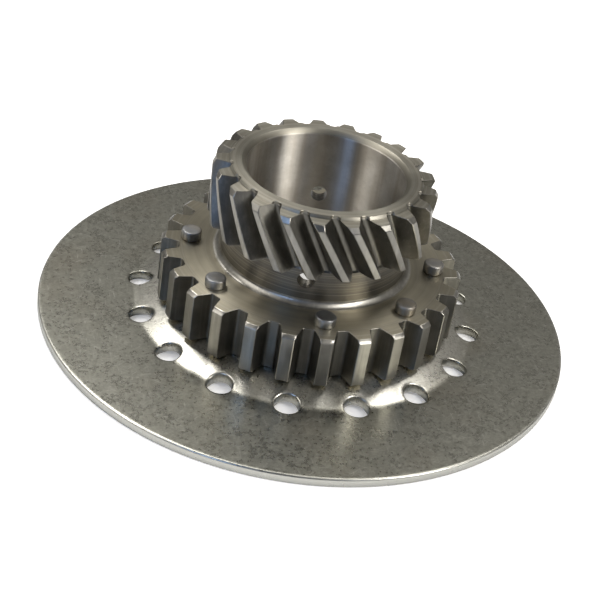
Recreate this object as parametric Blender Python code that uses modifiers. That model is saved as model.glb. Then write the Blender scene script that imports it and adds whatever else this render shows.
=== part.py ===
"""Riveted clutch drive pinion: helical pinion and toothed clutch hub on a dished base plate."""
import bmesh
import bpy
from math import cos, pi, radians, sin

from mathutils import Matrix

MM = 0.001

# Base plate (pressed sheet steel); heights are measured from its flat underside
PLATE_RADIUS = 57.5 * MM
PLATE_THICKNESS = 2.0 * MM
PLATE_EDGE_ROUND = 0.35 * MM
PLATE_CENTRE_HOLE_RADIUS = 18.0 * MM
DISH_OUTER_RADIUS = 36.3 * MM
DISH_INNER_RADIUS = 29.0 * MM
DISH_RISE = 2.4 * MM
DISH_BEND_HALF_WIDTH = 0.9 * MM
PERFORATION_COUNT = 16
PERFORATION_RADIUS = 2.6 * MM
PERFORATION_CIRCLE_RADIUS = 36.3 * MM
PERFORATION_FIRST_ANGLE = 0.2

# Clearance kept where two pieces bear on each other
CONTACT_GAP = 0.3 * MM

# Straight-toothed clutch hub
HUB_TEETH = 26
HUB_TIP_RADIUS = 32.4 * MM
HUB_ROOT_RADIUS = 28.6 * MM
HUB_BOTTOM = PLATE_THICKNESS + DISH_RISE + CONTACT_GAP
HUB_TOP = 15.55 * MM
HUB_TIP_CHAMFER_RADIAL = 0.8 * MM
HUB_TIP_CHAMFER_AXIAL = 0.6 * MM
HUB_TIP_BOTTOM_CHAMFER = 0.35 * MM
HUB_FIRST_TOOTH_ANGLE = -3.2
# Half width of a hub tooth in degrees at each radius, root to tip
HUB_TOOTH_SHAPE = (
    (28.6 * MM, 4.75),
    (29.2 * MM, 4.2),
    (30.8 * MM, 3.15),
    (32.4 * MM, 2.25),
)

# Neck between the two toothed bands
NECK_RADIUS = 20.0 * MM
NECK_FLARE_RADIUS = 20.85 * MM
NECK_FLARE_HEIGHT = 0.85 * MM
OIL_HOLE_RADIUS = 1.8 * MM
OIL_HOLE_HEIGHT = 21.2 * MM
OIL_HOLE_ANGLES = (-1.0, 183.0)

# Helical pinion, left-hand teeth
PINION_TEETH = 21
PINION_TIP_RADIUS = 23.6 * MM
PINION_ROOT_RADIUS = 19.7 * MM
PINION_BOTTOM = 23.6 * MM
PINION_TOOTH_TOP = 36.1 * MM
PINION_TOP = 36.7 * MM
PINION_RING_RADIUS = 20.2 * MM
PINION_TOP_CHAMFER_RADIAL = 0.7 * MM
PINION_TOP_CHAMFER_AXIAL = 1.1 * MM
PINION_BOTTOM_CHAMFER = 0.3 * MM
PINION_FIRST_TOOTH_ANGLE = 0.8
PINION_TWIST_PER_MM = 1.465
# Half width of a pinion tooth in degrees at each radius, root to tip
PINION_TOOTH_SHAPE = (
    (19.7 * MM, 6.95),
    (20.1 * MM, 6.15),
    (21.2 * MM, 4.95),
    (22.4 * MM, 3.45),
    (23.6 * MM, 1.75),
)
PINION_SLICES = 5

# Bore through the pinion and the hub
BORE_RADIUS = 16.7 * MM
BORE_TOP_CHAMFER = 1.0 * MM
BORE_BOTTOM_CHAMFER = 0.8 * MM

# Rivets, each on the centreline of a hub tooth
RIVET_TEETH = (1, 4, 7, 10, 14, 17, 20, 23)
RIVET_CIRCLE_RADIUS = 26.2 * MM
RIVET_HEAD_RADIUS = 2.15 * MM
RIVET_HEAD_HEIGHT = 1.75 * MM
RIVET_HEAD_ROUND = 0.35 * MM
RIVET_SHANK_RADIUS = 1.7 * MM
RIVET_HOLE_RADIUS = 2.0 * MM
RIVET_TAIL_RADIUS = 2.8 * MM
RIVET_TAIL_HEIGHT = 1.5 * MM

LATHE_STEPS = 96
HOLE_STEPS = 20
RIVET_STEPS = 16
CUT_MARGIN = 2.0 * MM


def clear_scene():
    for item in list(bpy.data.objects):
        bpy.data.objects.remove(item, do_unlink=True)


def make_collection(name):
    collection = bpy.data.collections.new(name)
    bpy.context.scene.collection.children.link(collection)
    return collection


def steel(name, colour, roughness):
    material = bpy.data.materials.new(name)
    material.use_nodes = True
    shader = material.node_tree.nodes["Principled BSDF"]
    shader.inputs["Base Color"].default_value = (*colour, 1.0)
    shader.inputs["Metallic"].default_value = 1.0
    shader.inputs["Roughness"].default_value = roughness
    material.diffuse_color = (*colour, 1.0)
    return material


def at(radius, angle, height):
    """Point on a circle; the angle in degrees runs from the front (-Y) towards +X."""
    turn = radians(angle)
    return (radius * sin(turn), -radius * cos(turn), height)


def link_mesh(name, bm, collection):
    mesh = bpy.data.meshes.new(name)
    bm.to_mesh(mesh)
    bm.free()
    item = bpy.data.objects.new(name, mesh)
    collection.objects.link(item)
    return item


def lathe(name, profile, closed, steps, collection):
    """Turned solid: the profile of (radius, height) points runs down its outer side."""
    bm = bmesh.new()
    verts = [bm.verts.new((radius, 0.0, height)) for radius, height in profile]
    for first, second in zip(verts, verts[1:]):
        bm.edges.new((first, second))
    if closed:
        bm.edges.new((verts[-1], verts[0]))
    item = link_mesh(name, bm, collection)
    screw = item.modifiers.new("Turn", "SCREW")
    screw.axis = "Z"
    screw.angle = 2.0 * pi
    screw.steps = steps
    screw.render_steps = steps
    screw.use_merge_vertices = True
    screw.merge_threshold = 0.00001
    return item


def loft(name, rings, collection):
    """Closed solid through matching rings of points, lowest ring first."""
    bm = bmesh.new()
    levels = [[bm.verts.new(point) for point in ring] for ring in rings]
    count = len(levels[0])
    for lower, upper in zip(levels, levels[1:]):
        for index in range(count):
            after = (index + 1) % count
            bm.faces.new((lower[index], lower[after], upper[after], upper[index]))
    bm.faces.new(list(reversed(levels[0])))
    bm.faces.new(levels[-1])
    return link_mesh(name, bm, collection)


def tooth_ring(teeth, shape, first_angle, height):
    """Outline of a whole toothed band at one height."""
    points = []
    for tooth in range(teeth):
        centre = first_angle + tooth * 360.0 / teeth
        points += [at(radius, centre - half, height) for radius, half in shape]
        points += [at(radius, centre + half, height) for radius, half in reversed(shape)]
    return points


def cylinders(name, places, radius, depth, steps, collection):
    """Several upright cylinders in one mesh, each centred on its own point."""
    bm = bmesh.new()
    for place in places:
        made = bmesh.ops.create_cone(
            bm, cap_ends=True, segments=steps, radius1=radius, radius2=radius, depth=depth
        )
        half_step = Matrix.Rotation(pi / steps, 3, "Z")
        bmesh.ops.rotate(bm, verts=made["verts"], matrix=half_step)
        bmesh.ops.translate(bm, verts=made["verts"], vec=place)
    return link_mesh(name, bm, collection)


def boolean(item, other, operation):
    modifier = item.modifiers.new(operation.title() + " " + other.name, "BOOLEAN")
    modifier.operation = operation
    modifier.object = other
    modifier.solver = "EXACT"


def settle(item):
    """Replace a solid by the result of its own modifiers."""
    bpy.context.view_layer.update()
    graph = bpy.context.evaluated_depsgraph_get()
    mesh = bpy.data.meshes.new_from_object(item.evaluated_get(graph))
    item.modifiers.clear()
    item.data = mesh


def finish(item, material, crease):
    item.data.materials.clear()
    item.data.materials.append(material)
    for polygon in item.data.polygons:
        polygon.material_index = 0
    item.data.shade_smooth()
    item.data.set_sharp_from_angle(angle=radians(crease))


def rivet_angles():
    return [HUB_FIRST_TOOTH_ANGLE + tooth * 360.0 / HUB_TEETH for tooth in RIVET_TEETH]


def build_base_plate(parts, cutters, material):
    slope = DISH_RISE / (DISH_OUTER_RADIUS - DISH_INNER_RADIUS)
    # Walls of the sheet stay parallel, so the top line shifts outward on the slope
    shift = PLATE_THICKNESS * (slope / 2.0)
    bend = DISH_BEND_HALF_WIDTH
    edge = PLATE_EDGE_ROUND
    ease = bend * slope / 4.0
    top = PLATE_THICKNESS
    profile = [
        (PLATE_CENTRE_HOLE_RADIUS, top + DISH_RISE),
        (DISH_INNER_RADIUS + shift - bend, top + DISH_RISE),
        (DISH_INNER_RADIUS + shift, top + DISH_RISE - ease),
        (DISH_INNER_RADIUS + shift + bend, top + DISH_RISE - bend * slope),
        (DISH_OUTER_RADIUS + shift - bend, top + bend * slope),
        (DISH_OUTER_RADIUS + shift, top + ease),
        (DISH_OUTER_RADIUS + shift + bend, top),
        (PLATE_RADIUS - edge, top),
        (PLATE_RADIUS, top - edge),
        (PLATE_RADIUS, edge),
        (PLATE_RADIUS - edge, 0.0),
        (DISH_OUTER_RADIUS - shift + bend, 0.0),
        (DISH_OUTER_RADIUS - shift, ease),
        (DISH_OUTER_RADIUS - shift - bend, bend * slope),
        (DISH_INNER_RADIUS - shift + bend, DISH_RISE - bend * slope),
        (DISH_INNER_RADIUS - shift, DISH_RISE - ease),
        (DISH_INNER_RADIUS - shift - bend, DISH_RISE),
        (PLATE_CENTRE_HOLE_RADIUS, DISH_RISE),
    ]
    plate = lathe("base_plate", profile, True, LATHE_STEPS, parts)
    depth = 2.0 * (PLATE_THICKNESS + DISH_RISE + CUT_MARGIN)
    pitch = 360.0 / PERFORATION_COUNT
    angles = [PERFORATION_FIRST_ANGLE + hole * pitch for hole in range(PERFORATION_COUNT)]
    places = [at(PERFORATION_CIRCLE_RADIUS, angle, 0.0) for angle in angles]
    holes = cylinders("plate_perforations", places, PERFORATION_RADIUS, depth, HOLE_STEPS, cutters)
    boolean(plate, holes, "DIFFERENCE")
    places = [at(RIVET_CIRCLE_RADIUS, angle, 0.0) for angle in rivet_angles()]
    drilled = cylinders(
        "plate_rivet_holes", places, RIVET_HOLE_RADIUS, depth, RIVET_STEPS, cutters
    )
    boolean(plate, drilled, "DIFFERENCE")
    settle(plate)
    finish(plate, material, 25.0)


def build_hub_band(cutters):
    rings = []
    for height in (HUB_BOTTOM, HUB_TOP):
        rings.append(tooth_ring(HUB_TEETH, HUB_TOOTH_SHAPE, HUB_FIRST_TOOTH_ANGLE, height))
    band = loft("hub_band", rings, cutters)
    reach = HUB_TIP_RADIUS + CUT_MARGIN
    rise = HUB_TIP_CHAMFER_AXIAL / HUB_TIP_CHAMFER_RADIAL
    blank_profile = [
        (0.0, HUB_TOP + CUT_MARGIN),
        (HUB_TIP_RADIUS - HUB_TIP_CHAMFER_RADIAL - CUT_MARGIN, HUB_TOP + CUT_MARGIN * rise),
        (reach, HUB_TOP - HUB_TIP_CHAMFER_AXIAL - CUT_MARGIN * rise),
        (reach, HUB_BOTTOM + HUB_TIP_BOTTOM_CHAMFER + CUT_MARGIN),
        (HUB_TIP_RADIUS - HUB_TIP_BOTTOM_CHAMFER - CUT_MARGIN, HUB_BOTTOM - CUT_MARGIN),
        (0.0, HUB_BOTTOM - 2.0 * CUT_MARGIN),
    ]
    blank = lathe("hub_blank", blank_profile, False, LATHE_STEPS, cutters)
    boolean(band, blank, "INTERSECT")
    return band


def build_pinion_band(cutters):
    rings = []
    top = PINION_TOP + CUT_MARGIN
    for slice_index in range(PINION_SLICES + 1):
        height = PINION_BOTTOM + (top - PINION_BOTTOM) * slice_index / PINION_SLICES
        turn = (PINION_TOOTH_TOP - height) / MM * PINION_TWIST_PER_MM
        first = PINION_FIRST_TOOTH_ANGLE + turn
        rings.append(tooth_ring(PINION_TEETH, PINION_TOOTH_SHAPE, first, height))
    band = loft("pinion_band", rings, cutters)
    chamfer_start = PINION_TIP_RADIUS - PINION_TOP_CHAMFER_RADIAL
    reach = PINION_TIP_RADIUS + CUT_MARGIN
    drop = PINION_TOP_CHAMFER_AXIAL / PINION_TOP_CHAMFER_RADIAL
    chamfer_run = reach - chamfer_start
    blank_profile = [
        (0.0, PINION_TOP),
        (PINION_RING_RADIUS, PINION_TOP),
        (PINION_RING_RADIUS, PINION_TOOTH_TOP),
        (chamfer_start, PINION_TOOTH_TOP),
        (reach, PINION_TOOTH_TOP - chamfer_run * drop),
        (reach, PINION_BOTTOM + PINION_BOTTOM_CHAMFER + CUT_MARGIN),
        (PINION_TIP_RADIUS - PINION_BOTTOM_CHAMFER - CUT_MARGIN, PINION_BOTTOM - CUT_MARGIN),
        (0.0, PINION_BOTTOM - 2.0 * CUT_MARGIN),
    ]
    blank = lathe("pinion_blank", blank_profile, False, LATHE_STEPS, cutters)
    boolean(band, blank, "INTERSECT")
    return band


def build_drive_pinion(parts, cutters, material):
    overlap = 0.1 * MM
    flare_slope = (NECK_FLARE_RADIUS - NECK_RADIUS) / NECK_FLARE_HEIGHT
    neck_profile = [
        (0.0, PINION_BOTTOM + overlap),
        (NECK_RADIUS, PINION_BOTTOM + overlap),
        (NECK_RADIUS, HUB_TOP + NECK_FLARE_HEIGHT),
        (NECK_FLARE_RADIUS + overlap * flare_slope, HUB_TOP - overlap),
        (NECK_FLARE_RADIUS + overlap * flare_slope, HUB_BOTTOM + overlap),
        (0.0, HUB_BOTTOM + overlap),
    ]
    pinion = lathe("drive_pinion", neck_profile, False, LATHE_STEPS, parts)
    boolean(pinion, build_hub_band(cutters), "UNION")
    boolean(pinion, build_pinion_band(cutters), "UNION")

    bore_profile = [
        (0.0, PINION_TOP + CUT_MARGIN),
        (BORE_RADIUS + BORE_TOP_CHAMFER + CUT_MARGIN, PINION_TOP + CUT_MARGIN),
        (BORE_RADIUS, PINION_TOP - BORE_TOP_CHAMFER),
        (BORE_RADIUS, HUB_BOTTOM + BORE_BOTTOM_CHAMFER),
        (BORE_RADIUS + BORE_BOTTOM_CHAMFER + CUT_MARGIN, HUB_BOTTOM - CUT_MARGIN),
        (0.0, HUB_BOTTOM - CUT_MARGIN),
    ]
    bore = lathe("bore", bore_profile, False, LATHE_STEPS, cutters)
    boolean(pinion, bore, "DIFFERENCE")

    places = [at(RIVET_CIRCLE_RADIUS, angle, HUB_TOP) for angle in rivet_angles()]
    drilled = cylinders(
        "hub_rivet_holes", places, RIVET_HOLE_RADIUS, 2.5 * HUB_TOP, RIVET_STEPS, cutters
    )
    boolean(pinion, drilled, "DIFFERENCE")

    for index, angle in enumerate(OIL_HOLE_ANGLES):
        middle = (BORE_RADIUS + NECK_RADIUS) / 2.0
        drill = cylinders(
            f"oil_hole_{index + 1}",
            [(0.0, 0.0, 0.0)],
            OIL_HOLE_RADIUS,
            NECK_RADIUS - BORE_RADIUS + 2.0 * CUT_MARGIN,
            HOLE_STEPS,
            cutters,
        )
        drill.location = at(middle, angle, OIL_HOLE_HEIGHT)
        drill.rotation_euler = (pi / 2.0, 0.0, radians(angle))
        boolean(pinion, drill, "DIFFERENCE")
    settle(pinion)
    finish(pinion, material, 22.0)


def build_rivets(parts, material):
    head_bottom = HUB_TOP + CONTACT_GAP
    head_top = head_bottom + RIVET_HEAD_HEIGHT
    tail_top = DISH_RISE - CONTACT_GAP
    tail_bottom = tail_top - RIVET_TAIL_HEIGHT
    soft = RIVET_HEAD_ROUND
    profile = [
        (0.0, head_top),
        (RIVET_HEAD_RADIUS - soft, head_top),
        (RIVET_HEAD_RADIUS - soft * 0.3, head_top - soft * 0.3),
        (RIVET_HEAD_RADIUS, head_top - soft),
        (RIVET_HEAD_RADIUS, head_bottom),
        (RIVET_SHANK_RADIUS, head_bottom),
        (RIVET_SHANK_RADIUS, tail_top),
        (RIVET_TAIL_RADIUS, tail_top),
        (RIVET_TAIL_RADIUS, tail_top - RIVET_TAIL_HEIGHT * 0.35),
        (RIVET_TAIL_RADIUS * 0.75, tail_bottom + RIVET_TAIL_HEIGHT * 0.12),
        (RIVET_TAIL_RADIUS * 0.4, tail_bottom),
        (0.0, tail_bottom),
    ]
    master = lathe("rivet_1", profile, False, RIVET_STEPS, parts)
    settle(master)
    finish(master, material, 35.0)
    for index, angle in enumerate(rivet_angles()):
        rivet = master
        if index > 0:
            rivet = bpy.data.objects.new(f"rivet_{index + 1}", master.data)
            parts.objects.link(rivet)
        rivet.location = at(RIVET_CIRCLE_RADIUS, angle, 0.0)


def main():
    clear_scene()
    parts = make_collection("clutch_drive_pinion")
    cutters = make_collection("clutch_drive_pinion_cutters")
    gear_steel = steel("machined_gear_steel", (0.34, 0.325, 0.295), 0.36)
    sheet_steel = steel("tumbled_sheet_steel", (0.42, 0.41, 0.385), 0.42)
    rivet_steel = steel("rivet_steel", (0.40, 0.40, 0.41), 0.34)
    build_base_plate(parts, cutters, sheet_steel)
    build_drive_pinion(parts, cutters, gear_steel)
    build_rivets(parts, rivet_steel)
    for cutter in cutters.objects:
        cutter.hide_render = True
        cutter.display_type = "WIRE"


main()
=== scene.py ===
import random
from math import atan2, cos, degrees, hypot, pi, radians, sin, sqrt

import bmesh
import bpy
from mathutils import Matrix, Quaternion, Vector
from mathutils.geometry import delaunay_2d_cdt


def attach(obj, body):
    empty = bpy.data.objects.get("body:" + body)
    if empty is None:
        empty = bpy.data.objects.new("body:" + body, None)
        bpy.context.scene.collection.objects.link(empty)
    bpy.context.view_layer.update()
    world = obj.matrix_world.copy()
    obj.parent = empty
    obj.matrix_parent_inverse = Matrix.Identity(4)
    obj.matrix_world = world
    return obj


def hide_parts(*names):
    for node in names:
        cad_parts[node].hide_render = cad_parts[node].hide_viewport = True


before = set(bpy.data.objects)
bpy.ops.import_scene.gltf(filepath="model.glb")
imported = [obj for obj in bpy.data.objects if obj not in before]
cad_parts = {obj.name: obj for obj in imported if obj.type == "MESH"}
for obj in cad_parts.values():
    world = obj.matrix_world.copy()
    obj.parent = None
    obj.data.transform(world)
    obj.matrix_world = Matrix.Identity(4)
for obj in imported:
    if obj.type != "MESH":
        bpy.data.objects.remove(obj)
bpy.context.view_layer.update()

MM = 0.001

# Heights and radii in millimetres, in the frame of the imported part
PLATE_RADIUS = 57.5
PLATE_THICKNESS = 2.0
PLATE_HOLE_RADIUS = 18.0
DISH_OUTER = 36.3
DISH_INNER = 29.0
DISH_RISE = 2.4
PERFORATIONS = 16
PERFORATION_RADIUS = 2.6
PERFORATION_CIRCLE = 36.3
PERFORATION_FIRST = 0.2

HUB_TEETH = 26
HUB_FIRST = -3.2
HUB_ROOT = 28.6
HUB_TIP = 32.4
HUB_BOTTOM = 4.43
HUB_TOP = 15.55

NECK_RADIUS = 20.0
OIL_HOLE_RADIUS = 1.8
OIL_HOLE_HEIGHT = 21.2
OIL_HOLE_ANGLES = (-1.0, 183.0)

PINION_TEETH = 21
PINION_FIRST = 0.8
PINION_TWIST = 1.465
PINION_ROOT = 19.7
PINION_TIP = 23.6
PINION_BOTTOM = 23.6
PINION_TOOTH_TOP = 36.1
PINION_TOP = 36.7
RING_BASE = 20.45
RING_CREST = 20.1

BORE_RADIUS = 16.7
BORE_CHAMFER = 1.0

RIVET_TEETH = (1, 4, 7, 10, 14, 17, 20, 23)
RIVET_CIRCLE = 26.2
RIVET_HEAD_RADIUS = 2.15
RIVET_HEAD_BOTTOM = 15.56
RIVET_HEAD_TOP = 17.6
RIVET_SHANK = 1.7
RIVET_HOLE = 2.0
RIVET_TAIL_RADIUS = 2.8
RIVET_TAIL_TOP = 2.1
RIVET_TAIL_BOTTOM = 0.6

EDGE = 0.1

# Angles in degrees above which an edge is shaded sharp
PINION_CREASE = 24.0
PLATE_CREASE = 40.0
RIVET_CREASE = 50.0

# Heights in metres over which the turned steel's tone changes: hub face to the darker neck, whose
# tone is painted shade, and neck to end ring
NECK_SHADE_BLEND = (0.0156, 0.0166)
END_BLEND = (0.0330, 0.0350)

# Radii in metres where the plate's colour changes: the dish band, lighter partly from scuffs and
# partly as a painted highlight, and the rim, lighter as a painted reflection of the floor
SCUFF_AND_HIGHLIGHT_START = (0.0285, 0.0300)
SCUFF_AND_HIGHLIGHT_END = (0.0375, 0.0345)
RIM_PAINTED_REFLECTION = (0.0569, 0.0573)

# Direction in radians and pattern offset of each set of fine scratches
SCRATCHES = ((0.35, 0.3), (1.25, 0.7), (2.2, 0.1), (2.8, 0.5))

# The floor as the camera sees it: bright in the open, dimmer under the plate
FLOOR_HALF = 2.5
FLOOR_GLOW = 0.62
SHADED_GLOW = 0.28
SHADE_OUTER = (0.046, 0.052)
SHADE_INNER = (0.016, 0.020)

# Strength of the studio's surroundings as the part reflects them
WORLD_FRONT = 0.065
WORLD_BACK = 0.25
WORLD_CROWN = 0.6
WORLD_HORIZON = 0.25
INDIRECT_CLAMP = 2.0

# Name, azimuth, elevation, distance, width, height (metres), radiance, colour
SOFTBOXES = (
    ("left", -72.0, 42.0, 0.6, 0.28, 0.36, 2.7, (1.0, 0.97, 0.93)),
    ("right", 64.0, 42.0, 0.6, 0.14, 0.36, 12.5, (1.0, 0.98, 0.95)),
    ("rear_left", -140.0, 55.0, 0.6, 0.25, 0.18, 9.0, (1.0, 0.98, 0.95)),
    ("rear", 176.0, 69.0, 0.6, 0.40, 0.08, 3.0, (1.0, 0.98, 0.95)),
    ("rear_right", 144.0, 57.0, 0.6, 0.14, 0.16, 6.5, (1.0, 0.98, 0.95)),
    ("left_window", -26.0, 33.0, 0.6, 0.09, 0.24, 5.0, (0.34, 0.55, 1.0)),
    ("right_window", 29.0, 27.0, 0.6, 0.12, 0.20, 0.6, (0.6, 0.72, 1.0)),
)


def at(radius, angle, height):
    """Point in metres; the angle in degrees runs from the front (-Y) towards +X."""
    turn = radians(angle)
    return Vector((radius * sin(turn), -radius * cos(turn), height)) * MM


def hub_half(radius):
    """Half width of a hub tooth in degrees."""
    step = radius - 30.8
    half = 3.15 - 0.609 * step + 0.0293 * step * step
    fillet = 0.4
    share = (radius - HUB_ROOT) / fillet
    if share < 1.0:
        half += degrees(fillet / HUB_ROOT) * (1.0 - sqrt(1.0 - (1.0 - share) ** 2))
    return half


def pinion_half(radius):
    """Half width of a pinion tooth in degrees."""
    step = radius - 22.0
    half = 3.98 - 1.26 * step - 0.07 * step * step
    fillet = 0.45
    share = (radius - PINION_ROOT) / fillet
    if share < 1.0:
        half += degrees(fillet / PINION_ROOT) * (1.0 - sqrt(1.0 - (1.0 - share) ** 2))
    return half


class Band:
    """A toothed band built as matching outlines, one per height."""

    def __init__(self, teeth, first, half, root, low_shares, land, gap):
        self.teeth = teeth
        self.first = first
        self.half = half
        self.root = root
        self.low = low_shares
        self.land = land
        self.gap = gap

    def tooth(self, tip, corner):
        """(radius, angle) pairs from the middle of a gap over one tooth."""
        pitch = 180.0 / self.teeth
        start = self.half(self.root)
        points = []
        for index in range(self.gap):
            points.append((self.root, -pitch + (pitch - start) * index / self.gap))
        flank = list(self.low)
        top = tip - corner
        last = flank[-1]
        for share in (0.25, 0.5, 0.75, 1.0):
            flank.append(last + (top - last) * share)
        points += [(radius, -self.half(radius)) for radius in flank]
        inner = self.half(tip) - degrees(corner / tip)
        for index in range(self.land + 1):
            points.append((tip, -inner + 2.0 * inner * index / self.land))
        points += [(radius, self.half(radius)) for radius in reversed(flank)]
        for index in range(1, self.gap + 1):
            points.append((self.root, start + (pitch - start) * index / self.gap))
        return points[:-1]

    def is_land(self, index):
        """True for the quads on the tip land, its two broken corners among them."""
        place = index % (2 * self.gap + 2 * (len(self.low) + 4) + self.land + 1 - 1)
        start = self.gap + len(self.low) + 4
        return start - 1 <= place <= start + self.land

    def outline(self, tip, corner, height, turn=0.0, inset=0.0):
        flat = []
        for tooth in range(self.teeth):
            centre = self.first + turn + tooth * 360.0 / self.teeth
            for radius, angle in self.tooth(tip, corner):
                a = radians(centre + angle)
                flat.append((radius * sin(a), -radius * cos(a)))
        if inset:
            count = len(flat)
            moved = []
            for index in range(count):
                before = flat[index - 1]
                after = flat[(index + 1) % count]
                dx = after[0] - before[0]
                dy = after[1] - before[1]
                size = hypot(dx, dy)
                x, y = flat[index]
                moved.append((x - inset * dy / size, y + inset * dx / size))
            flat = moved
        return [Vector((x, y, height)) * MM for x, y in flat]


def circle(radius, height, steps=240):
    return [at(radius, index * 360.0 / steps, height) for index in range(steps)]


def add_loop(bm, points):
    return [bm.verts.new(point) for point in points]


def wall(bm, lower, upper, material=0, land=None):
    """Quads between matching loops, the lower one first; land picks out the tooth tips."""
    count = len(lower)
    for index in range(count):
        after = (index + 1) % count
        face = bm.faces.new((lower[index], lower[after], upper[after], upper[index]))
        face.material_index = LAND if land and land(index) else material


def angle_of(vert):
    return atan2(vert.co.x, -vert.co.y)


def stitch(bm, outer, inner, up, material=0):
    """Flat ring of triangles between two loops with different counts, both turning the same way."""
    start = min(range(len(outer)), key=lambda i: abs(angle_of(outer[i]) + pi * 0.999))
    outer = outer[start:] + outer[:start]
    first = angle_of(outer[0])

    def away(index):
        return abs((angle_of(inner[index]) - first + pi) % (2 * pi) - pi)

    near = min(range(len(inner)), key=away)
    inner = inner[near:] + inner[:near]

    def travelled(loop):
        found = []
        total = (angle_of(loop[0]) - first + pi) % (2 * pi) - pi
        found.append(total)
        for before, after in zip(loop, loop[1:] + loop[:1]):
            total += (angle_of(after) - angle_of(before) + pi) % (2 * pi) - pi
            found.append(total)
        return found

    far = travelled(outer)
    close = travelled(inner)
    i = 0
    j = 0
    while i < len(outer) or j < len(inner):
        go_outer = j >= len(inner) or (i < len(outer) and far[i + 1] <= close[j + 1])
        if go_outer:
            trio = (outer[i % len(outer)], outer[(i + 1) % len(outer)], inner[j % len(inner)])
            i += 1
        else:
            trio = (inner[(j + 1) % len(inner)], inner[j % len(inner)], outer[i % len(outer)])
            j += 1
        if not up:
            trio = tuple(reversed(trio))
        face = bm.faces.new(trio)
        face.material_index = material


def new_object(name, bm, materials):
    mesh = bpy.data.meshes.new(name)
    bm.to_mesh(mesh)
    bm.free()
    item = bpy.data.objects.new(name, mesh)
    bpy.context.scene.collection.objects.link(item)
    for material in materials:
        mesh.materials.append(material)
    return item


def settle(item):
    """Replace an object's mesh by the result of its modifiers."""
    bpy.context.view_layer.update()
    graph = bpy.context.evaluated_depsgraph_get()
    mesh = bpy.data.meshes.new_from_object(item.evaluated_get(graph))
    item.modifiers.clear()
    item.data = mesh


def smooth(item, crease):
    item.data.shade_smooth()
    item.data.set_sharp_from_angle(angle=radians(crease))


def cylinders(name, places, radius, depth, steps):
    bm = bmesh.new()
    for place, matrix in places:
        made = bmesh.ops.create_cone(
            bm,
            cap_ends=True,
            segments=steps,
            radius1=radius * MM,
            radius2=radius * MM,
            depth=depth * MM,
        )
        bmesh.ops.rotate(bm, verts=made["verts"], matrix=Matrix.Rotation(pi / steps, 3, "Z"))
        bmesh.ops.rotate(bm, verts=made["verts"], matrix=matrix)
        bmesh.ops.translate(bm, verts=made["verts"], vec=place)
    return new_object(name, bm, [])


def cut(item, cutter):
    modifier = item.modifiers.new("Cut", "BOOLEAN")
    modifier.operation = "DIFFERENCE"
    modifier.object = cutter
    modifier.solver = "EXACT"
    settle(item)
    bpy.data.objects.remove(cutter, do_unlink=True)


# The second slot holds the darker flank steel, painted shade in the tooth gaps
TURNED, SHADED_CUT, BORE, LAND = 0, 1, 2, 3


def build_hub_wall(bm):
    """Outside of the clutch hub; returns its bottom and top outlines."""
    band = Band(HUB_TEETH, HUB_FIRST, hub_half, HUB_ROOT, (28.6, 28.66, 28.75, 28.87, 29.0), 3, 4)
    levels = (
        (HUB_BOTTOM, HUB_TIP - 0.35, 0.1),
        (HUB_BOTTOM + 0.12, HUB_TIP - 0.3, 0.0),
        (HUB_BOTTOM + 0.4, HUB_TIP, 0.0),
        (HUB_BOTTOM + 0.6, HUB_TIP, 0.0),
        (HUB_TOP - 0.8, HUB_TIP, 0.0),
        (HUB_TOP - 0.66, HUB_TIP, 0.0),
        (HUB_TOP - 0.54, HUB_TIP - 0.08, 0.0),
        (HUB_TOP - 0.08, HUB_TIP - 0.7, 0.0),
        (HUB_TOP, HUB_TIP - 0.8, 0.08),
    )
    loops = []
    for height, tip, inset in levels:
        loops.append(add_loop(bm, band.outline(tip, EDGE, height, inset=inset)))
    for lower, upper in zip(loops, loops[1:]):
        wall(bm, lower, upper, SHADED_CUT, band.is_land)
    inner = add_loop(bm, band.outline(HUB_TIP - 0.8, EDGE, HUB_TOP, inset=0.12))
    wall(bm, loops[-1], inner, TURNED)
    return loops[0], inner


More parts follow.
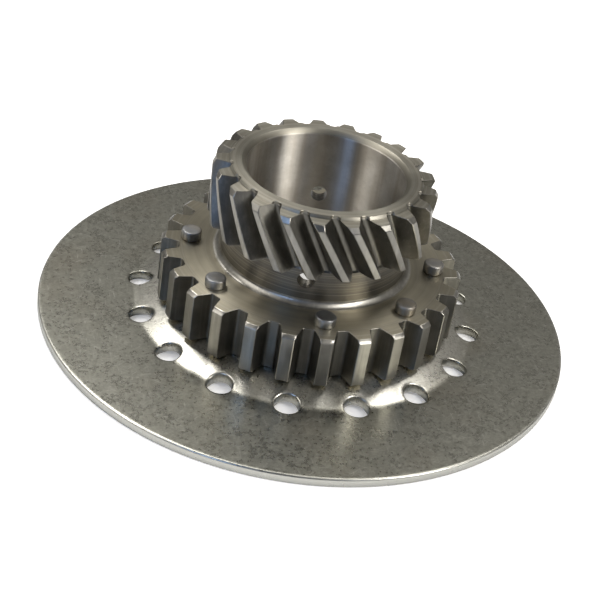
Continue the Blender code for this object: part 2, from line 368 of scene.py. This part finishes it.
def build_pinion_wall(bm):
    """Outside of the helical band; returns its bottom outline and the outline of its ring."""
    low = (19.7, 19.76, 19.85, 20.0, 20.2, RING_BASE)
    band = Band(PINION_TEETH, PINION_FIRST, pinion_half, PINION_ROOT, low, 2, 3)
    foot = PINION_BOTTOM + 0.35
    heights = [foot + (34.8 - PINION_BOTTOM - 0.35) * step / 10 for step in range(11)]
    levels = [(height, PINION_TIP, 0.0) for height in heights]
    levels += [
        (35.0, PINION_TIP - 0.03, 0.0),
        (35.15, PINION_TIP - 0.12, 0.0),
        (36.02, PINION_TIP - 0.66, 0.0),
    ]
    bottom_turn = (PINION_TOOTH_TOP - PINION_BOTTOM) * PINION_TWIST
    start = band.outline(PINION_TIP - 0.3, EDGE, PINION_BOTTOM, bottom_turn, 0.1)
    # The tooth gaps run out on the neck, so the lowest outline never goes inside it
    held = []
    for point in start:
        radius = hypot(point.x, point.y)
        grow = max(1.0, (NECK_RADIUS + 0.06) * MM / radius)
        held.append(Vector((point.x * grow, point.y * grow, point.z)))
    loops = [add_loop(bm, held)]
    for height, tip, inset in levels:
        turn = (PINION_TOOTH_TOP - height) * PINION_TWIST
        loops.append(add_loop(bm, band.outline(tip, EDGE, height, turn, inset)))
    top = add_loop(bm, band.outline(PINION_TIP - 0.7, EDGE, PINION_TOOTH_TOP, 0.0, 0.08))
    loops.append(top)
    for lower, upper in zip(loops, loops[1:]):
        wall(bm, lower, upper, SHADED_CUT, band.is_land)

    # Tooth tops as ladders from the tip in to the ring, then the sloping side of the ring
    count = len(top) // PINION_TEETH
    gap = band.gap
    low_count = len(low)
    flank_count = low_count + 4
    ring = []
    arc = 7
    for tooth in range(PINION_TEETH):
        base = tooth * count
        left = [top[base + gap + index] for index in range(flank_count)]
        land_start = base + gap + flank_count
        land = [top[land_start + index] for index in range(band.land + 1)]
        right_start = land_start + band.land + 1
        right = [top[right_start + index] for index in range(flank_count)][::-1]
        face = bm.faces.new([left[-1]] + land + [right[-1]])
        face.material_index = TURNED
        foot = low_count - 1
        for index in range(flank_count - 1, foot + 1, -1):
            face = bm.faces.new((left[index - 1], left[index], right[index], right[index - 1]))
            face.material_index = TURNED
        first = angle_of(left[foot])
        last = angle_of(right[foot])
        span = (last - first + pi) % (2 * pi) - pi
        radius_here = hypot(left[foot].co.x, left[foot].co.y)
        mids = []
        for index in range(1, arc):
            angle = first + span * index / arc
            x = radius_here * sin(angle)
            y = -radius_here * cos(angle)
            mids.append(bm.verts.new((x, y, top[0].co.z)))
        row = [left[foot]] + mids + [right[foot]]
        face = bm.faces.new(row[::-1] + [left[foot + 1], right[foot + 1]])
        face.material_index = TURNED
        ring += [top[base + index] for index in range(gap)]
        ring += left[: foot + 1] + mids + right[: foot + 1][::-1]
        ring += [top[base + count - gap + 1 + index] for index in range(gap - 1)]
    return loops[0], ring


def raised(bm, ring, height, crest, inset):
    """Copy of the ring outline, higher and pulled in to the crest radius."""
    made = []
    for vert in ring:
        radius = hypot(vert.co.x, vert.co.y) / MM
        wanted = min(radius, crest) - inset
        grow = wanted / radius
        made.append(bm.verts.new((vert.co.x * grow, vert.co.y * grow, height * MM)))
    return made


def build_drive_pinion(materials):
    bm = bmesh.new()
    hub_bottom, hub_top = build_hub_wall(bm)
    pinion_bottom, ring = build_pinion_wall(bm)

    # Hub face, flare and neck, up to the underside of the helical band
    turned = [
        (24.5, HUB_TOP),
        (22.2, HUB_TOP),
        (21.35, HUB_TOP),
        (21.05, HUB_TOP + 0.05),
        (20.8, HUB_TOP + 0.2),
        (20.5, HUB_TOP + 0.42),
        (20.2, HUB_TOP + 0.72),
        (20.06, HUB_TOP + 0.95),
        (NECK_RADIUS, HUB_TOP + 1.3),
        (NECK_RADIUS, HUB_TOP + 2.6),
        (NECK_RADIUS, HUB_TOP + 4.6),
        (NECK_RADIUS, HUB_TOP + 6.4),
        (NECK_RADIUS, PINION_BOTTOM),
    ]
    rings = [add_loop(bm, circle(radius, height)) for radius, height in turned]
    stitch(bm, hub_top, rings[0], True, TURNED)
    for index, (outer, inner) in enumerate(zip(rings, rings[1:])):
        wall(bm, outer, inner, LAND if 2 <= index <= 7 else TURNED)
    stitch(bm, pinion_bottom, rings[-1], False, TURNED)

    # Sloping side and rounded crest of the end ring
    side = raised(bm, ring, PINION_TOP - 0.1, RING_CREST, 0.0)
    crest = raised(bm, ring, PINION_TOP, RING_CREST, 0.12)
    wall(bm, ring, side, TURNED)
    wall(bm, side, crest, TURNED)
    held = raised(bm, ring, PINION_TOP, RING_CREST, 0.2)
    wall(bm, crest, held, TURNED)
    crest = held

    # End face, bore and underside
    inside = [
        (19.2, PINION_TOP),
        (BORE_RADIUS + BORE_CHAMFER + 0.08, PINION_TOP),
        (BORE_RADIUS + BORE_CHAMFER - 0.06, PINION_TOP - 0.07),
        (BORE_RADIUS + 0.1, PINION_TOP - BORE_CHAMFER + 0.12),
        (BORE_RADIUS, PINION_TOP - BORE_CHAMFER - 0.1),
        (BORE_RADIUS, 30.0),
        (BORE_RADIUS, 24.0),
        (BORE_RADIUS, 18.0),
        (BORE_RADIUS, 11.0),
        (BORE_RADIUS, HUB_BOTTOM + 0.9),
        (BORE_RADIUS + 0.1, HUB_BOTTOM + 0.7),
        (BORE_RADIUS + 0.74, HUB_BOTTOM + 0.06),
        (BORE_RADIUS + 0.9, HUB_BOTTOM),
        (23.0, HUB_BOTTOM),
    ]
    rings = [add_loop(bm, circle(radius, height)) for radius, height in inside]
    stitch(bm, crest, rings[0], True, TURNED)
    for index, (outer, inner) in enumerate(zip(rings, rings[1:])):
        wall(bm, outer, inner, BORE if 3 <= index <= 8 else TURNED)
    stitch(bm, hub_bottom, rings[-1], False, TURNED)
    bmesh.ops.recalc_face_normals(bm, faces=bm.faces)
    item = new_object("drive_pinion_steel", bm, materials)

    places = []
    for tooth in RIVET_TEETH:
        angle = HUB_FIRST + tooth * 360.0 / HUB_TEETH
        places.append((at(RIVET_CIRCLE, angle, HUB_TOP), Matrix.Identity(3)))
    cut(item, cylinders("rivet_drill", places, RIVET_HOLE, 2.5 * HUB_TOP, 24))
    places = []
    for angle in OIL_HOLE_ANGLES:
        turn = Matrix.Rotation(radians(angle), 3, "Z") @ Matrix.Rotation(pi / 2.0, 3, "X")
        places.append((at((BORE_RADIUS + NECK_RADIUS) / 2.0, angle, OIL_HOLE_HEIGHT), turn))
    cut(item, cylinders("oil_drill", places, OIL_HOLE_RADIUS, 8.0, 40))
    smooth(item, PINION_CREASE)
    return item


def dish(radius, side):
    """Height of the plate's top (side 1) or underside (side 0)."""
    slope = DISH_RISE / (DISH_OUTER - DISH_INNER)
    shift = (1 if side else -1) * PLATE_THICKNESS * slope / 2.0
    base = PLATE_THICKNESS if side else 0.0
    soft = 0.9

    def ramp(distance):
        if distance <= -soft:
            return 0.0
        if distance >= soft:
            return distance
        return (distance + soft) ** 2 / (4.0 * soft)

    start = DISH_OUTER + shift
    end = DISH_INNER + shift
    return base + slope * (ramp(start - radius) - ramp(end - radius))


def build_plate(materials):
    holes = []
    for index in range(PERFORATIONS):
        angle = PERFORATION_FIRST + index * 360.0 / PERFORATIONS
        point = at(PERFORATION_CIRCLE, angle, 0.0) / MM
        holes.append((point.x, point.y, PERFORATION_RADIUS))
    for tooth in RIVET_TEETH:
        angle = HUB_FIRST + tooth * 360.0 / HUB_TEETH
        point = at(RIVET_CIRCLE, angle, 0.0) / MM
        holes.append((point.x, point.y, RIVET_HOLE))
    around = 40
    fringe = (0.0, 0.08, 0.2, 0.38, 0.75)
    steps = 240
    radii = [18.2, 20.5, 23.0, 25.5, 27.5, 28.4]
    radii += [28.8 + 0.3 * index for index in range(9)]
    radii += [32.0, 33.0, 34.0, 35.0]
    radii += [35.5 + 0.3 * index for index in range(9)]
    radii += [38.6, 40.0, 43.0, 46.0, 49.0, 52.0, 55.0, 56.6]
    points = []
    edges = []

    def ring(cx, cy, radius, count, bound):
        first = len(points)
        for index in range(count):
            turn = 2.0 * pi * (index + 0.5) / count
            points.append((cx + radius * cos(turn), cy + radius * sin(turn)))
        if bound:
            for index in range(count):
                edges.append((first + index, first + (index + 1) % count))

    ring(0.0, 0.0, PLATE_HOLE_RADIUS, steps, True)
    ring(0.0, 0.0, PLATE_RADIUS - 0.4, steps, True)
    for cx, cy, radius in holes:
        for offset in fringe:
            ring(cx, cy, radius + offset, around, offset == 0.0)
    for radius in radii:
        for index in range(steps):
            turn = 2.0 * pi * (index + 0.5) / steps
            x = radius * cos(turn)
            y = radius * sin(turn)
            clear = all(hypot(x - cx, y - cy) > size + fringe[-1] + 0.15 for cx, cy, size in holes)
            if clear:
                points.append((x, y))
    found = delaunay_2d_cdt([Vector(point) for point in points], edges, [], 0, 1e-7)
    verts = [(vert.x, vert.y) for vert in found[0]]
    faces = []
    for face in found[2]:
        x = sum(verts[index][0] for index in face) / len(face)
        y = sum(verts[index][1] for index in face) / len(face)
        radius = hypot(x, y)
        if radius < PLATE_HOLE_RADIUS or radius > PLATE_RADIUS - 0.35:
            continue
        if any(hypot(x - cx, y - cy) < size for cx, cy, size in holes):
            continue
        faces.append(face)

    def level(x, y, side):
        height = dish(hypot(x, y), side)
        for cx, cy, size in holes:
            gap = hypot(x - cx, y - cy) - size
            if gap < 0.36 and size == PERFORATION_RADIUS:
                share = max(0.0, 1.0 - max(gap, 0.0) / 0.36)
                drop = 0.3 * (1.0 - sqrt(max(0.0, 1.0 - share * share)))
                height += -drop if side else drop * 0.4
        return height

    bm = bmesh.new()
    layers = []
    for side in (1, 0):
        made = []
        for x, y in verts:
            made.append(bm.verts.new((x * MM, y * MM, level(x, y, side) * MM)))
        layers.append(made)
        for face in faces:
            order = face if side else list(reversed(face))
            bm.faces.new([made[index] for index in order])
    used = {}
    for face in faces:
        for index in range(len(face)):
            pair = (face[index], face[(index + 1) % len(face)])
            used[pair] = True
    top, low = layers
    rim = []
    for first, second in sorted(used):
        if (second, first) in used:
            continue
        radius = hypot(*verts[first])
        if radius > PLATE_RADIUS - 1.0:
            rim.append((first, second))
            continue
        bm.faces.new((top[second], top[first], low[first], low[second]))
    # Rounded rim of the plate
    bands = [(0.4, 0.0), (0.2, 0.045), (0.07, 0.15), (0.0, 0.36), (0.0, 0.7)]
    column = {}
    for first, _ in rim:
        x, y = verts[first]
        size = hypot(x, y)
        chain = [top[first]]
        for back, down in bands[1:]:
            grow = (PLATE_RADIUS - back) / size
            level_here = (PLATE_THICKNESS - down) * MM
            chain.append(bm.verts.new((x * grow * MM, y * grow * MM, level_here)))
        for back, down in reversed(bands[1:]):
            grow = (PLATE_RADIUS - back) / size
            chain.append(bm.verts.new((x * grow * MM, y * grow * MM, down * MM)))
        chain.append(low[first])
        column[first] = chain
    for first, second in rim:
        one = column[first]
        two = column[second]
        for index in range(len(one) - 1):
            bm.faces.new((one[index], one[index + 1], two[index + 1], two[index]))
    loose = [vert for vert in bm.verts if not vert.link_faces]
    bmesh.ops.delete(bm, geom=loose, context="VERTS")
    bmesh.ops.recalc_face_normals(bm, faces=bm.faces)
    item = new_object("base_plate_steel", bm, materials)
    item.data.shade_smooth()
    item.data.set_sharp_from_angle(angle=radians(PLATE_CREASE))
    return item


def build_rivet(index, angle, materials):
    """Turned rivet with a soft-edged head, its shank and an upset tail."""
    rng = random.Random(100 + index)
    round_off = 0.34 + 0.06 * rng.random()
    profile = [(0.0, RIVET_HEAD_TOP - 0.01), (0.8, RIVET_HEAD_TOP), (1.4, RIVET_HEAD_TOP - 0.01)]
    for step in range(7):
        turn = pi / 2.0 * step / 6
        radius = RIVET_HEAD_RADIUS - round_off + round_off * sin(turn)
        profile.append((radius, RIVET_HEAD_TOP - 0.02 - round_off + round_off * cos(turn)))
    profile += [
        (RIVET_HEAD_RADIUS, RIVET_HEAD_BOTTOM + 0.25),
        (RIVET_HEAD_RADIUS - 0.04, RIVET_HEAD_BOTTOM + 0.08),
        (RIVET_HEAD_RADIUS - 0.12, RIVET_HEAD_BOTTOM),
        (RIVET_SHANK, RIVET_HEAD_BOTTOM),
        (RIVET_SHANK, RIVET_TAIL_TOP),
        (RIVET_TAIL_RADIUS - 0.1, RIVET_TAIL_TOP),
        (RIVET_TAIL_RADIUS, RIVET_TAIL_TOP - 0.12),
    ]
    for step in range(1, 7):
        turn = pi / 2.0 * step / 6
        radius = 0.9 + (RIVET_TAIL_RADIUS - 0.9) * cos(turn)
        rise = (RIVET_TAIL_TOP - 0.12 - RIVET_TAIL_BOTTOM) * (1 - sin(turn))
        profile.append((radius, RIVET_TAIL_BOTTOM + rise))
    profile.append((0.0, RIVET_TAIL_BOTTOM))
    steps = 56
    bm = bmesh.new()
    centre = at(RIVET_CIRCLE, angle, 0.0)
    tilt = rng.uniform(-0.03, 0.03)
    loops = []
    for radius, height in profile:
        if radius == 0.0:
            loops.append([bm.verts.new(centre + Vector((0.0, 0.0, height * MM)))])
            continue
        loop = []
        for step in range(steps):
            turn = 2.0 * pi * step / steps
            x = radius * cos(turn)
            y = radius * sin(turn)
            lift = tilt * x if height > RIVET_HEAD_TOP - 0.5 else 0.0
            loop.append(bm.verts.new(centre + Vector((x, y, height + min(lift, 0.0))) * MM))
        loops.append(loop)
    for upper, lower in zip(loops, loops[1:]):
        for step in range(steps):
            after = (step + 1) % steps
            if len(upper) == 1:
                bm.faces.new((upper[0], lower[step], lower[after]))
            elif len(lower) == 1:
                bm.faces.new((upper[step], lower[0], upper[after]))
            else:
                bm.faces.new((upper[step], lower[step], lower[after], upper[after]))
    bmesh.ops.recalc_face_normals(bm, faces=bm.faces)
    item = new_object(f"rivet_{index}_steel", bm, materials)
    item.data.shade_smooth()
    item.data.set_sharp_from_angle(angle=radians(RIVET_CREASE))
    return item


class Nodes:
    """Small helper for building a material's node tree."""

    def __init__(self, name):
        self.material = bpy.data.materials.new(name)
        self.material.use_nodes = True
        self.tree = self.material.node_tree
        self.shader = self.tree.nodes["Principled BSDF"]
        self.position = self.add("ShaderNodeTexCoord").outputs["Object"]

    def add(self, kind, **values):
        node = self.tree.nodes.new(kind)
        for key, value in values.items():
            setattr(node, key, value)
        return node

    def link(self, source, target):
        self.tree.links.new(source, target)

    def feed(self, target, value):
        if isinstance(value, (int, float, tuple)):
            target.default_value = value
        else:
            self.link(value, target)

    def maths(self, operation, first, second=0.0, clamp=False):
        node = self.add("ShaderNodeMath", operation=operation, use_clamp=clamp)
        self.feed(node.inputs[0], first)
        self.feed(node.inputs[1], second)
        return node.outputs[0]

    def noise(self, scale, detail=3.0, rough=0.5, vector=None, distortion=0.0):
        node = self.add("ShaderNodeTexNoise")
        node.inputs["Scale"].default_value = scale
        node.inputs["Detail"].default_value = detail
        node.inputs["Roughness"].default_value = rough
        node.inputs["Distortion"].default_value = distortion
        self.link(vector or self.position, node.inputs["Vector"])
        return node.outputs["Fac"]

    def stretch(self, value, low, high, out_low=0.0, out_high=1.0):
        node = self.add("ShaderNodeMapRange")
        self.link(value, node.inputs["Value"])
        node.inputs["From Min"].default_value = low
        node.inputs["From Max"].default_value = high
        node.inputs["To Min"].default_value = out_low
        node.inputs["To Max"].default_value = out_high
        return node.outputs["Result"]

    def mix(self, factor, first, second):
        node = self.add("ShaderNodeMix", data_type="RGBA")
        self.feed(node.inputs["Factor"], factor)
        self.feed(node.inputs["A"], first)
        self.feed(node.inputs["B"], second)
        return node.outputs["Result"]

    def tone(self, pattern, dark, light, low=0.35, high=0.65):
        """Colour that follows a pattern from dark to light."""
        return self.mix(self.stretch(pattern, low, high), grey(dark), grey(light))

    def blend(self, first, second):
        """Mean of two patterns."""
        halves = [self.maths("MULTIPLY", pattern, 0.5) for pattern in (first, second)]
        return self.maths("ADD", *halves)

    def turned(self, radial, axial):
        """Coordinates that only change with radius and height, so a pattern runs round the axis."""
        split = self.add("ShaderNodeSeparateXYZ")
        self.link(self.position, split.inputs[0])
        x = self.maths("MULTIPLY", split.outputs[0], split.outputs[0])
        y = self.maths("MULTIPLY", split.outputs[1], split.outputs[1])
        radius = self.maths("SQRT", self.maths("ADD", x, y))
        join = self.add("ShaderNodeCombineXYZ")
        self.link(self.maths("MULTIPLY", radius, radial), join.inputs[0])
        self.link(self.maths("MULTIPLY", split.outputs[2], axial), join.inputs[1])
        return join.outputs[0]

    def radius(self):
        """Distance from the axis, in metres."""
        flat = self.scaled(1.0, 1.0, 0.0)
        node = self.add("ShaderNodeVectorMath", operation="LENGTH")
        self.link(flat, node.inputs[0])
        return node.outputs["Value"]

    def scaled(self, x, y, z):
        """Object coordinates with a different pattern scale along each axis."""
        node = self.add("ShaderNodeVectorMath", operation="MULTIPLY")
        self.link(self.position, node.inputs[0])
        node.inputs[1].default_value = (x, y, z)
        return node.outputs[0]

    def rotated(self, turn, seed, along, across):
        """Coordinates turned about Z and drawn out along one direction, for scratches."""
        node = self.add("ShaderNodeMapping")
        self.link(self.position, node.inputs["Vector"])
        node.inputs["Rotation"].default_value = (0.0, 0.0, turn)
        spread = self.add("ShaderNodeVectorMath", operation="MULTIPLY_ADD")
        self.link(node.outputs["Vector"], spread.inputs[0])
        spread.inputs[1].default_value = (along, across, across)
        spread.inputs[2].default_value = (seed * 50.0, seed * 90.0, seed * 20.0)
        return spread.outputs[0]

    def brush_round_axis(self):
        """Lay the shader's stretched highlight across the turning marks."""
        node = self.add("ShaderNodeTangent", direction_type="RADIAL", axis="Z")
        self.link(node.outputs[0], self.shader.inputs["Tangent"])

    def bump(self, height, strength, distance, after=None):
        node = self.add("ShaderNodeBump")
        node.inputs["Strength"].default_value = strength
        node.inputs["Distance"].default_value = distance * MM
        self.link(height, node.inputs["Height"])
        if after is not None:
            self.link(after, node.inputs["Normal"])
        return node.outputs["Normal"]


def grey(colour):
    return (*colour, 1.0)


def turned_steel():
    n = Nodes("turned_gear_steel")
    lines = n.noise(1.0, 4.0, 0.6, n.turned(2600.0, 2600.0))
    broad = n.noise(1.0, 2.0, 0.5, n.turned(900.0, 900.0))
    cloud = n.noise(90.0, 4.0, 0.55)
    split = n.add("ShaderNodeSeparateXYZ")
    n.link(n.position, split.inputs[0])
    upper = n.stretch(split.outputs[2], *NECK_SHADE_BLEND)
    end = n.stretch(split.outputs[2], *END_BLEND)
    face = n.tone(cloud, (0.40, 0.368, 0.283), (0.50, 0.462, 0.36))
    # The neck's dark tone is painted shade in the recess between hub face and helical band
    neck = n.tone(cloud, (0.125, 0.12, 0.108), (0.18, 0.172, 0.155))
    rim = n.tone(cloud, (0.29, 0.275, 0.232), (0.40, 0.383, 0.327))
    base = n.mix(end, n.mix(upper, face, neck), rim)
    base = n.mix(n.stretch(broad, 0.35, 0.65, 0.0, 0.4), base, grey((0.27, 0.245, 0.195)))
    base = n.mix(n.stretch(lines, 0.52, 0.68, 0.0, 0.35), base, grey((0.60, 0.57, 0.49)))
    n.link(base, n.shader.inputs["Base Color"])
    rough = n.stretch(n.blend(lines, cloud), 0.3, 0.7, 0.33, 0.44)
    rough = n.maths("ADD", rough, n.maths("MULTIPLY", end, 0.06))
    n.link(rough, n.shader.inputs["Roughness"])
    n.shader.inputs["Metallic"].default_value = 1.0
    n.shader.inputs["Anisotropic"].default_value = 0.6
    n.shader.inputs["Anisotropic Rotation"].default_value = 0.25
    n.brush_round_axis()
    normal = n.bump(lines, 0.10, 0.02)
    normal = n.bump(broad, 0.08, 0.02, normal)
    n.link(normal, n.shader.inputs["Normal"])
    return n.material


def cut_steel(name, dark, light, rough_low, rough_high):
    n = Nodes(name)
    cloud = n.noise(220.0, 3.0, 0.5)
    streak = n.noise(1.0, 2.0, 0.5, n.scaled(1500.0, 1500.0, 90.0))
    bright = tuple(min(1.0, channel * 1.5) for channel in light)
    base = n.tone(cloud, dark, light)
    base = n.mix(n.stretch(streak, 0.5, 0.75, 0.0, 0.35), base, grey(bright))
    n.link(base, n.shader.inputs["Base Color"])
    n.link(n.stretch(cloud, 0.3, 0.7, rough_low, rough_high), n.shader.inputs["Roughness"])
    n.shader.inputs["Metallic"].default_value = 1.0
    n.link(n.bump(streak, 0.05, 0.01), n.shader.inputs["Normal"])
    return n.material


def bore_steel():
    n = Nodes("honed_bore_steel")
    lines = n.noise(1.0, 3.0, 0.6, n.turned(5200.0, 2600.0))
    cloud = n.noise(160.0, 4.0, 0.6)
    speck = n.noise(1300.0, 3.0, 0.6)
    base = n.tone(cloud, (0.54, 0.51, 0.455), (0.72, 0.69, 0.635))
    base = n.mix(n.stretch(speck, 0.5, 0.75, 0.0, 0.3), base, grey((0.42, 0.40, 0.36)))
    stain = n.noise(1.0, 3.0, 0.6, n.scaled(260.0, 260.0, 12.0))
    base = n.mix(n.stretch(stain, 0.45, 0.65, 0.0, 0.6), base, grey((0.40, 0.345, 0.265)))
    n.link(base, n.shader.inputs["Base Color"])
    n.link(n.stretch(cloud, 0.3, 0.7, 0.43, 0.49), n.shader.inputs["Roughness"])
    n.shader.inputs["Metallic"].default_value = 1.0
    n.shader.inputs["Anisotropic"].default_value = 1.0
    n.shader.inputs["Anisotropic Rotation"].default_value = 0.25
    n.brush_round_axis()
    normal = n.bump(lines, 0.06, 0.008)
    n.link(normal, n.shader.inputs["Normal"])
    return n.material


def sheet_steel():
    n = Nodes("tumbled_sheet_steel")
    mottle = n.noise(1300.0, 2.0, 0.55)
    grain = n.noise(2600.0, 1.0, 0.5)
    patch = n.noise(240.0, 4.0, 0.55)
    stain = n.noise(45.0, 3.0, 0.5)
    blotch = n.noise(620.0, 3.0, 0.6, distortion=1.2)
    radius = n.radius()
    base = n.tone(mottle, (0.33, 0.326, 0.28), (0.42, 0.415, 0.36), 0.34, 0.66)
    base = n.mix(n.stretch(patch, 0.35, 0.65, 0.0, 0.45), base, grey((0.32, 0.316, 0.27)))
    base = n.mix(n.stretch(blotch, 0.48, 0.62, 0.0, 0.2), base, grey((0.26, 0.257, 0.22)))
    base = n.mix(n.stretch(blotch, 0.47, 0.36, 0.0, 0.18), base, grey((0.52, 0.512, 0.45)))
    base = n.mix(n.stretch(grain, 0.45, 0.75, 0.0, 0.3), base, grey((0.56, 0.55, 0.485)))
    base = n.mix(n.stretch(stain, 0.52, 0.68, 0.0, 0.35), base, grey((0.36, 0.32, 0.25)))
    # The dish band is lighter partly from scuffs and partly as a painted highlight
    inner = n.stretch(radius, *SCUFF_AND_HIGHLIGHT_START)
    outer = n.stretch(radius, *SCUFF_AND_HIGHLIGHT_END)
    scuff = n.stretch(n.noise(1900.0, 2.0, 0.55), 0.35, 0.6, 0.45, 1.0)
    scuffs_and_highlight = n.maths("MULTIPLY", n.maths("MULTIPLY", inner, outer), scuff)
    base = n.mix(n.maths("MULTIPLY", scuffs_and_highlight, 0.65), base, grey((0.84, 0.82, 0.75)))
    # The lighter rim is a painted reflection of the pale floor
    base = n.mix(n.stretch(radius, *RIM_PAINTED_REFLECTION), base, grey((0.66, 0.655, 0.60)))
    for turn, seed in SCRATCHES:
        scratch = n.noise(1.0, 1.0, 0.4, n.rotated(turn, seed, 420.0, 3200.0))
        base = n.mix(n.stretch(scratch, 0.66, 0.80, 0.0, 0.5), base, grey((0.66, 0.65, 0.60)))
    n.link(base, n.shader.inputs["Base Color"])
    rough = n.stretch(n.blend(mottle, patch), 0.35, 0.65, 0.25, 0.34)
    n.link(rough, n.shader.inputs["Roughness"])
    n.shader.inputs["Metallic"].default_value = 1.0
    normal = n.bump(mottle, 0.12, 0.02)
    n.link(normal, n.shader.inputs["Normal"])
    return n.material


def rivet_steel():
    n = Nodes("rivet_head_steel")
    cloud = n.noise(420.0, 3.0, 0.5)
    stain = n.noise(150.0, 2.0, 0.5)
    base = n.tone(cloud, (0.25, 0.253, 0.255), (0.34, 0.343, 0.342))
    base = n.mix(n.stretch(stain, 0.5, 0.7, 0.0, 0.5), base, grey((0.34, 0.28, 0.19)))
    n.link(base, n.shader.inputs["Base Color"])
    n.link(n.stretch(cloud, 0.3, 0.7, 0.38, 0.46), n.shader.inputs["Roughness"])
    n.shader.inputs["Metallic"].default_value = 1.0
    n.link(n.bump(cloud, 0.12, 0.02), n.shader.inputs["Normal"])
    return n.material


def build_camera():
    data = bpy.data.cameras.new("camera")
    data.sensor_width = 36.0
    data.lens = 84.66
    camera = bpy.data.objects.new("camera", data)
    bpy.context.scene.collection.objects.link(camera)
    camera.location = Vector((0.0, -259.41, 172.15)) * MM
    aim = Vector((-0.953, 5.211, 0.0)) * MM
    facing = (aim - camera.location).to_track_quat("-Z", "Y")
    roll = Quaternion((0.0, 0.0, 1.0), radians(9.73))
    camera.rotation_mode = "QUATERNION"
    camera.rotation_quaternion = facing @ roll
    data.clip_start = 0.01
    data.clip_end = 20.0
    bpy.context.scene.camera = camera


def softbox(name, azimuth, elevation, distance, width, height, radiance, colour):
    """Area light facing the part; the azimuth runs from the front (-Y) towards +X."""
    data = bpy.data.lights.new(name, "AREA")
    data.shape = "RECTANGLE"
    data.size = width
    data.size_y = height
    data.energy = radiance * pi * width * height
    data.color = colour
    light = bpy.data.objects.new(name, data)
    bpy.context.scene.collection.objects.link(light)
    a = radians(azimuth)
    e = radians(elevation)
    centre = Vector((0.0, 0.0, 0.015))
    offset = Vector((cos(e) * sin(a), -cos(e) * cos(a), sin(e))) * distance
    light.location = centre + offset
    light.rotation_mode = "QUATERNION"
    light.rotation_quaternion = (-offset).to_track_quat("-Z", "Y")
    return light


def build_stage():
    bm = bmesh.new()
    half = FLOOR_HALF
    corners = [(-half, -half), (half, -half), (half, half), (-half, half)]
    bm.faces.new([bm.verts.new((x, y, -0.00005)) for x, y in corners])
    n = Nodes("pale_floor")
    n.shader.inputs["Base Color"].default_value = (0.86, 0.86, 0.86, 1.0)
    n.shader.inputs["Roughness"].default_value = 1.0
    n.shader.inputs["Specular IOR Level"].default_value = 0.0
    n.shader.inputs["Emission Color"].default_value = (1.0, 0.98, 0.95, 1.0)
    path = n.add("ShaderNodeLightPath")
    reach = n.add("ShaderNodeVectorMath", operation="LENGTH")
    n.link(n.position, reach.inputs[0])
    glow = n.stretch(reach.outputs["Value"], *SHADE_OUTER, SHADED_GLOW, FLOOR_GLOW)
    under_bore = n.stretch(reach.outputs["Value"], *SHADE_INNER, FLOOR_GLOW, SHADED_GLOW)
    glow = n.maths("MAXIMUM", glow, under_bore)
    seen = n.maths("MULTIPLY", path.outputs["Is Camera Ray"], glow)
    n.link(seen, n.shader.inputs["Emission Strength"])
    floor = new_object("floor", bm, [n.material])
    world = bpy.data.worlds.new("studio")
    world.use_nodes = True
    back = world.node_tree.nodes["Background"]
    back.inputs[0].default_value = (0.98, 0.96, 0.92, 1.0)
    nodes = world.node_tree.nodes
    links = world.node_tree.links
    direction = nodes.new("ShaderNodeTexCoord")
    split = nodes.new("ShaderNodeSeparateXYZ")
    ramp = nodes.new("ShaderNodeMapRange")
    ramp.interpolation_type = "SMOOTHSTEP"
    ramp.inputs["From Min"].default_value = -0.7
    ramp.inputs["From Max"].default_value = 0.35
    ramp.inputs["To Min"].default_value = WORLD_FRONT
    ramp.inputs["To Max"].default_value = WORLD_BACK
    links.new(direction.outputs["Generated"], split.inputs[0])
    links.new(split.outputs[1], ramp.inputs["Value"])
    lift = nodes.new("ShaderNodeMapRange")
    lift.interpolation_type = "SMOOTHSTEP"
    lift.inputs["From Max"].default_value = 0.4
    lift.inputs["To Min"].default_value = WORLD_HORIZON
    links.new(split.outputs[2], lift.inputs["Value"])
    crown = nodes.new("ShaderNodeMapRange")
    crown.interpolation_type = "SMOOTHSTEP"
    crown.inputs["From Min"].default_value = 0.48
    crown.inputs["From Max"].default_value = 0.7
    crown.inputs["To Min"].default_value = 1.0
    crown.inputs["To Max"].default_value = WORLD_CROWN
    links.new(split.outputs[2], crown.inputs["Value"])
    height = nodes.new("ShaderNodeMath")
    height.operation = "MULTIPLY"
    links.new(lift.outputs["Result"], height.inputs[0])
    links.new(crown.outputs["Result"], height.inputs[1])
    product = nodes.new("ShaderNodeMath")
    product.operation = "MULTIPLY"
    links.new(ramp.outputs["Result"], product.inputs[0])
    links.new(height.outputs[0], product.inputs[1])
    path = nodes.new("ShaderNodeLightPath")
    backdrop = nodes.new("ShaderNodeMath")
    backdrop.operation = "MAXIMUM"
    links.new(path.outputs["Is Camera Ray"], backdrop.inputs[0])
    links.new(product.outputs[0], backdrop.inputs[1])
    links.new(backdrop.outputs[0], back.inputs[1])
    bpy.context.scene.world = world
    for row in SOFTBOXES:
        softbox(*row)


turned = turned_steel()
# The flanks and roots get a darker copy of the cut steel as painted shade in the tooth gaps; the
# tip lands get the lighter copy
flank = cut_steel("tooth_flank_steel_painted_shade", (0.17, 0.163, 0.143), (0.23, 0.220, 0.193), 0.37, 0.43)
land = cut_steel("tooth_land_steel", (0.32, 0.307, 0.275), (0.42, 0.405, 0.365), 0.32, 0.37)
bore = bore_steel()
sheet = sheet_steel()
rivet = rivet_steel()

pinion = build_drive_pinion([turned, flank, bore, land])
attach(pinion, "root")
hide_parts("drive_pinion")

plate = build_plate([sheet])
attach(plate, "root")
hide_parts("base_plate")

for index, tooth in enumerate(RIVET_TEETH):
    angle = HUB_FIRST + tooth * 360.0 / HUB_TEETH
    item = build_rivet(index + 1, angle, [rivet])
    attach(item, "root")
    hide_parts(f"rivet_{index + 1}")

build_camera()
build_stage()
bpy.context.scene.view_settings.view_transform = "Standard"
bpy.context.scene.cycles.sample_clamp_indirect = INDIRECT_CLAMP
